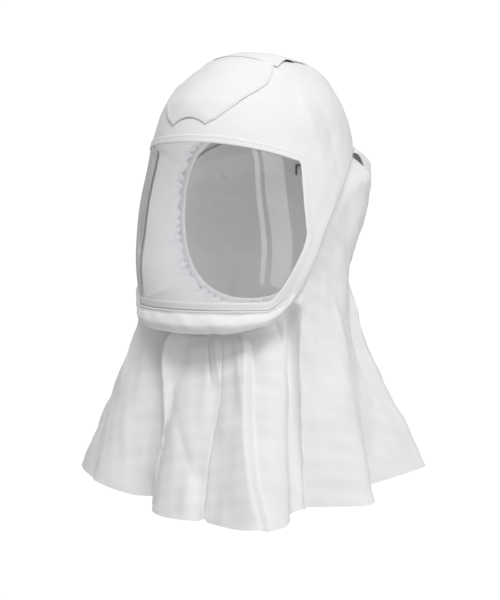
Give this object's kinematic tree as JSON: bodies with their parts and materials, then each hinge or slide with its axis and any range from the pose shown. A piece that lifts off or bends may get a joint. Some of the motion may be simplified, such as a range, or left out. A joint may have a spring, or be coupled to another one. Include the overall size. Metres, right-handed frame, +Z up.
{
  "type": "respirator hood",
  "caption": "White fabric respirator hood with a wide clear wrap-round window, padded chin roll, inner face seal, covered air inlet at the back and a flared shoulder-length shroud.",
  "frame": {"origin": "the point where the top of the head meets the inside of the crown, in the middle of the head", "axes": "+Z up through the crown, the wearer faces -Y, the wearer's left is +X"},
  "size_m": [0.3889, 0.38, 0.5493],
  "materials": {
    "cloth": "coated white non-woven, soft matt with a faint sheen",
    "liner": "thin matt white cloth, gathered",
    "lens": "clear thin plastic sheet, glossy",
    "plastic": "dark grey moulded plastic, satin"
  },
  "bodies": {
    "root": {"hood_cover": "cloth", "lens": "lens", "window_hem": "cloth", "yoke_panel": "cloth", "crown_ridge": "cloth", "chin_roll": "cloth", "face_seal": "liner", "face_elastic": "liner", "shroud": "cloth", "inlet_cover": "cloth", "air_inlet": "plastic"}
  },
  "joints": []
}
